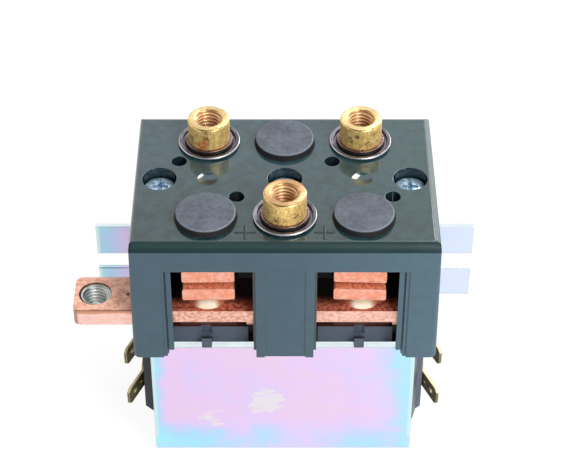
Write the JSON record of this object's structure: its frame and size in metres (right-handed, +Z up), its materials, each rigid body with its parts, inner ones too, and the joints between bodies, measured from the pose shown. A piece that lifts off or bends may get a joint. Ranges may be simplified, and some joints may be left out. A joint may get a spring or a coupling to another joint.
{
  "type": "contactor",
  "caption": "Two-pole changeover contactor: moulded housing with open windows over paired solenoids in a folded steel yoke, brass stud terminals, a copper side rail and a slotted bracket.",
  "frame": {"origin": "on the yoke's bottom face, midway between the two coils", "axes": "+X to the right along the two solenoids, away from the side terminal; +Y to the rear, out of the mounting bracket; +Z up, out of the top terminals"},
  "size_m": [0.1253, 0.0615, 0.1014],
  "materials": {
    "yoke_zinc": "pale zinc plating with a faint coloured sheen",
    "bracket_zinc": "pale zinc plating with a faint coloured sheen",
    "rivet_steel": "plated steel",
    "housing_plastic": "dark blue-green moulding, glossy top",
    "deck_plastic": "dark slate moulding",
    "cover_plastic": "near-black moulding",
    "bobbin_plastic": "black moulding",
    "coil_wrap": "amber-brown tape over the winding",
    "tab_brass": "tarnished brass",
    "core_steel": "plain steel",
    "copper": "copper, lightly tarnished",
    "tip_silver": "silver alloy",
    "insert_steel": "zinc plated steel",
    "bush_brass": "turned brass",
    "washer_steel": "dark steel",
    "cap_rubber": "matte dark grey rubber",
    "screw_steel": "bright blue zinc",
    "carrier_plastic": "natural moulding",
    "spring_steel": "spring steel"
  },
  "bodies": {
    "frame": {"yoke": "yoke_zinc", "pole_plate": "yoke_zinc", "mounting_bracket": "bracket_zinc", "bracket_rivets": "rivet_steel", "housing": "housing_plastic", "insulating_deck": "deck_plastic", "left_bobbin": "bobbin_plastic", "right_bobbin": "bobbin_plastic", "left_winding": "coil_wrap", "right_winding": "coil_wrap", "left_terminal_cover": "cover_plastic", "right_terminal_cover": "cover_plastic", "left_upper_tab": "tab_brass", "left_lower_tab": "tab_brass", "right_upper_tab": "tab_brass", "right_lower_tab": "tab_brass", "left_core": "core_steel", "right_core": "core_steel", "common_rail": "copper", "threaded_insert": "insert_steel", "upper_link": "copper", "front_fixed_tips": "tip_silver", "left_rear_contact": "copper", "right_rear_contact": "copper", "rear_fixed_tips": "tip_silver", "front_bush": "bush_brass", "left_rear_bush": "bush_brass", "right_rear_bush": "bush_brass", "front_washer": "washer_steel", "left_rear_washer": "washer_steel", "right_rear_washer": "washer_steel", "front_ring": "washer_steel", "left_rear_ring": "washer_steel", "right_rear_ring": "washer_steel", "left_front_cap": "cap_rubber", "right_front_cap": "cap_rubber", "rear_cap": "cap_rubber", "left_screw": "screw_steel", "centre_screw": "screw_steel", "right_screw": "screw_steel"},
    "left_armature": {"left_plunger": "core_steel", "left_spindle": "core_steel", "left_carrier": "carrier_plastic", "left_lower_bar": "copper", "left_upper_bar": "copper", "left_moving_tips": "tip_silver", "left_disc_springs": "spring_steel", "left_nut": "screw_steel", "left_return_spring": "spring_steel"},
    "right_armature": {"right_plunger": "core_steel", "right_spindle": "core_steel", "right_carrier": "carrier_plastic", "right_lower_bar": "copper", "right_upper_bar": "copper", "right_moving_tips": "tip_silver", "right_disc_springs": "spring_steel", "right_nut": "screw_steel", "right_return_spring": "spring_steel"}
  },
  "joints": [
    {"name": "left_pull_in", "type": "slide", "parent": "frame", "child": "left_armature", "axis": [0, 0, 1], "range_m": [-0.0022, 0], "stiffness_N_per_m": 800, "springref_m": 0.006, "deforming": ["left_return_spring"]},
    {"name": "right_pull_in", "type": "slide", "parent": "frame", "child": "right_armature", "axis": [0, 0, 1], "range_m": [-0.0022, 0], "stiffness_N_per_m": 800, "springref_m": 0.006, "deforming": ["right_return_spring"]}
  ]
}
